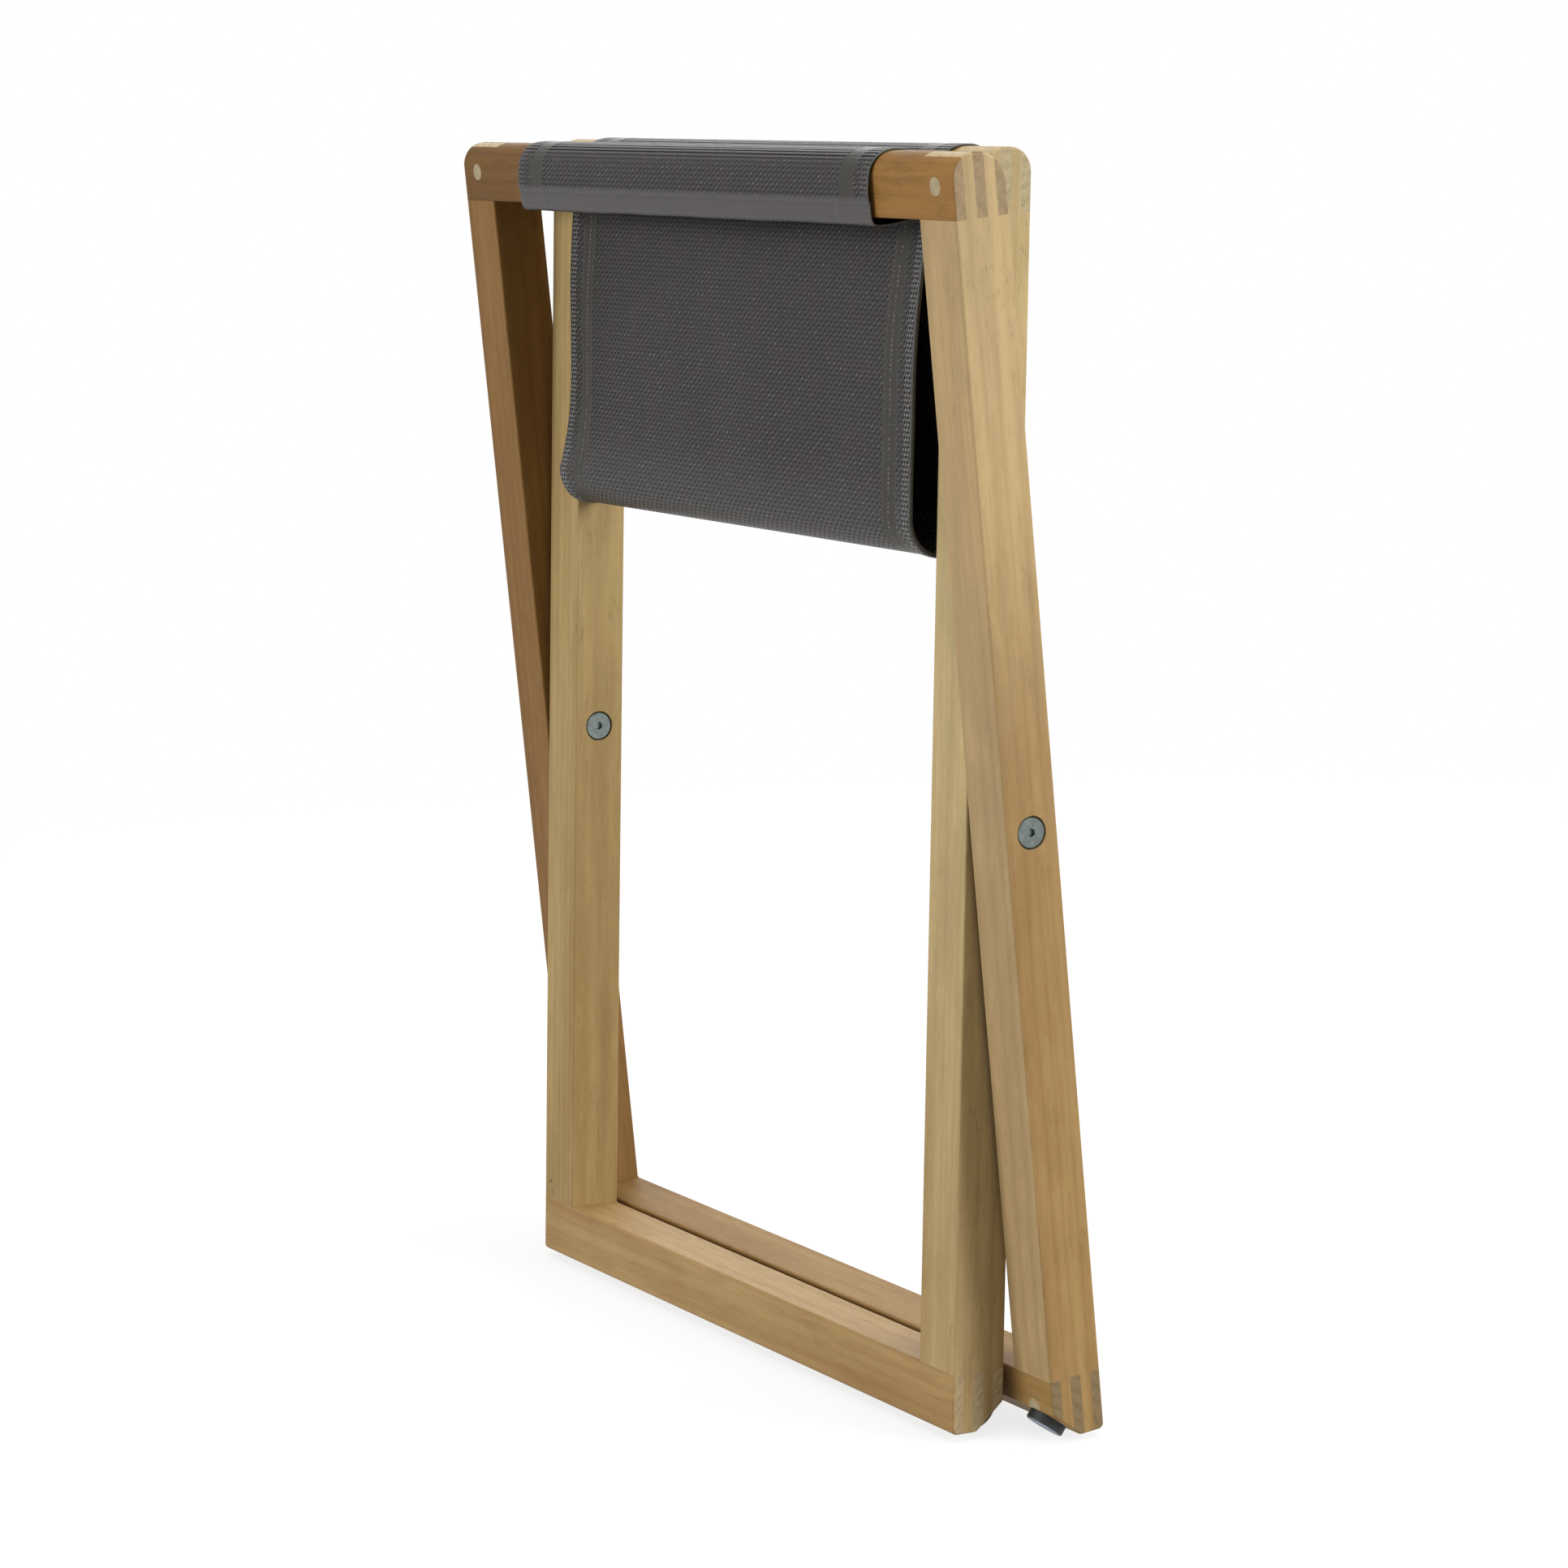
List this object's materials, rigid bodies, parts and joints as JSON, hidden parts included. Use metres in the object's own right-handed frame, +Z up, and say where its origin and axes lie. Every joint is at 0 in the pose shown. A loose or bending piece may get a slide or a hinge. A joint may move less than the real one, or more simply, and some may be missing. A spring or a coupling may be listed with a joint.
{
  "type": "folding stool",
  "caption": "Folding X-frame stool: box-jointed teak frames crossing on pivot bolts, with a mesh sling seat between the top rails, stored folded upright.",
  "frame": {"origin": "bottom centre of the folded stool, on the floor midway between the feet", "axes": "+X along the pivot axis to the stool's right as seen from the front, -Y to the front where the outer frame's top rail is, +Z up"},
  "size_m": [0.5, 0.0706, 0.6389],
  "materials": {
    "teak": "fine sanded, oiled",
    "teak_dowel": "end grain, sanded flush",
    "glide_black": "satin",
    "glide_sole": "matt",
    "nail_steel": "plain",
    "zinc": "zinc plated",
    "washer_black": "matt",
    "sling": "coated mesh",
    "sling_seam": "welded mesh"
  },
  "bodies": {
    "outer_frame": {"outer_leg_left": "teak", "outer_leg_right": "teak", "outer_top_rail": "teak", "outer_bottom_rail": "teak", "outer_dowels": "teak_dowel", "outer_glide_left": "glide_black", "outer_glide_right": "glide_black", "outer_glide_soles": "glide_sole", "outer_glide_nails": "nail_steel", "front_pocket": "sling", "front_pocket_seam": "sling_seam", "pivot_bolt_left": "zinc", "sleeve_nut_left": "zinc", "pivot_washer_left": "washer_black", "pivot_bolt_right": "zinc", "sleeve_nut_right": "zinc", "pivot_washer_right": "washer_black"},
    "inner_frame": {"inner_leg_left": "teak", "inner_leg_right": "teak", "inner_top_rail": "teak", "inner_bottom_rail": "teak", "inner_dowels": "teak_dowel", "inner_glide_left": "glide_black", "inner_glide_right": "glide_black", "inner_glide_soles": "glide_sole", "inner_glide_nails": "nail_steel", "rear_pocket": "sling", "rear_pocket_seam": "sling_seam"},
    "front_lip": {"front_lip": "sling"},
    "front_panel": {"front_panel": "sling"},
    "front_fold_1": {"front_fold_1": "sling"},
    "front_fold_2": {"front_fold_2": "sling"},
    "front_fold_3": {"front_fold_3": "sling"},
    "rear_lip": {"rear_lip": "sling"},
    "rear_panel": {"rear_panel": "sling"},
    "rear_fold_1": {"rear_fold_1": "sling"},
    "rear_fold_2": {"rear_fold_2": "sling"},
    "rear_fold_3": {"rear_fold_3": "sling"}
  },
  "joints": [
    {"name": "fold", "type": "hinge", "parent": "outer_frame", "child": "inner_frame", "pos_m": [0, 0, 0.31072], "axis": [-1, 0, 0], "range_deg": [0, 77]},
    {"name": "front_lip_turn", "type": "hinge", "parent": "outer_frame", "child": "front_lip", "pos_m": [0, -0.00712, 0.6341], "axis": [1, 0, 0], "range_deg": [0, 30.9]},
    {"name": "front_hang", "type": "hinge", "parent": "front_lip", "child": "front_panel", "pos_m": [0, -0.00151, 0.60818], "axis": [1, 0, 0], "range_deg": [0, 22.4]},
    {"name": "front_bend_1", "type": "hinge", "parent": "front_panel", "child": "front_fold_1", "pos_m": [0, -0.01878, 0.4537], "axis": [-1, 0, 0], "range_deg": [0, 30.6]},
    {"name": "front_bend_2", "type": "hinge", "parent": "front_fold_1", "child": "front_fold_2", "pos_m": [0, -0.01399, 0.44456], "axis": [-1, 0, 0], "range_deg": [0, 30.6]},
    {"name": "front_bend_3", "type": "hinge", "parent": "front_fold_2", "child": "front_fold_3", "pos_m": [0, -0.00516, 0.43922], "axis": [-1, 0, 0], "range_deg": [0, 30.6]},
    {"name": "rear_lip_turn", "type": "hinge", "parent": "inner_frame", "child": "rear_lip", "pos_m": [0, 0.00712, 0.6341], "axis": [-1, 0, 0], "range_deg": [0, 30.9]},
    {"name": "rear_hang", "type": "hinge", "parent": "rear_lip", "child": "rear_panel", "pos_m": [0, 0.00151, 0.60818], "axis": [-1, 0, 0], "range_deg": [0, 22.4]},
    {"name": "rear_bend_1", "type": "hinge", "parent": "rear_panel", "child": "rear_fold_1", "pos_m": [0, 0.01878, 0.4537], "axis": [1, 0, 0], "range_deg": [0, 30.6]},
    {"name": "rear_bend_2", "type": "hinge", "parent": "rear_fold_1", "child": "rear_fold_2", "pos_m": [0, 0.01399, 0.44456], "axis": [1, 0, 0], "range_deg": [0, 30.6]},
    {"name": "rear_bend_3", "type": "hinge", "parent": "rear_fold_2", "child": "rear_fold_3", "pos_m": [0, 0.00516, 0.43922], "axis": [1, 0, 0], "range_deg": [0, 30.6]}
  ],
  "couplings": [
    {"joint": "front_lip_turn", "follows": "fold", "ratio": 0.39898},
    {"joint": "front_hang", "follows": "fold", "ratio": 0.28852},
    {"joint": "front_bend_1", "follows": "fold", "ratio": 0.39584},
    {"joint": "front_bend_2", "follows": "fold", "ratio": 0.39584},
    {"joint": "front_bend_3", "follows": "fold", "ratio": 0.39584},
    {"joint": "rear_lip_turn", "follows": "fold", "ratio": 0.39898},
    {"joint": "rear_hang", "follows": "fold", "ratio": 0.28852},
    {"joint": "rear_bend_1", "follows": "fold", "ratio": 0.39584},
    {"joint": "rear_bend_2", "follows": "fold", "ratio": 0.39584},
    {"joint": "rear_bend_3", "follows": "fold", "ratio": 0.39584}
  ]
}
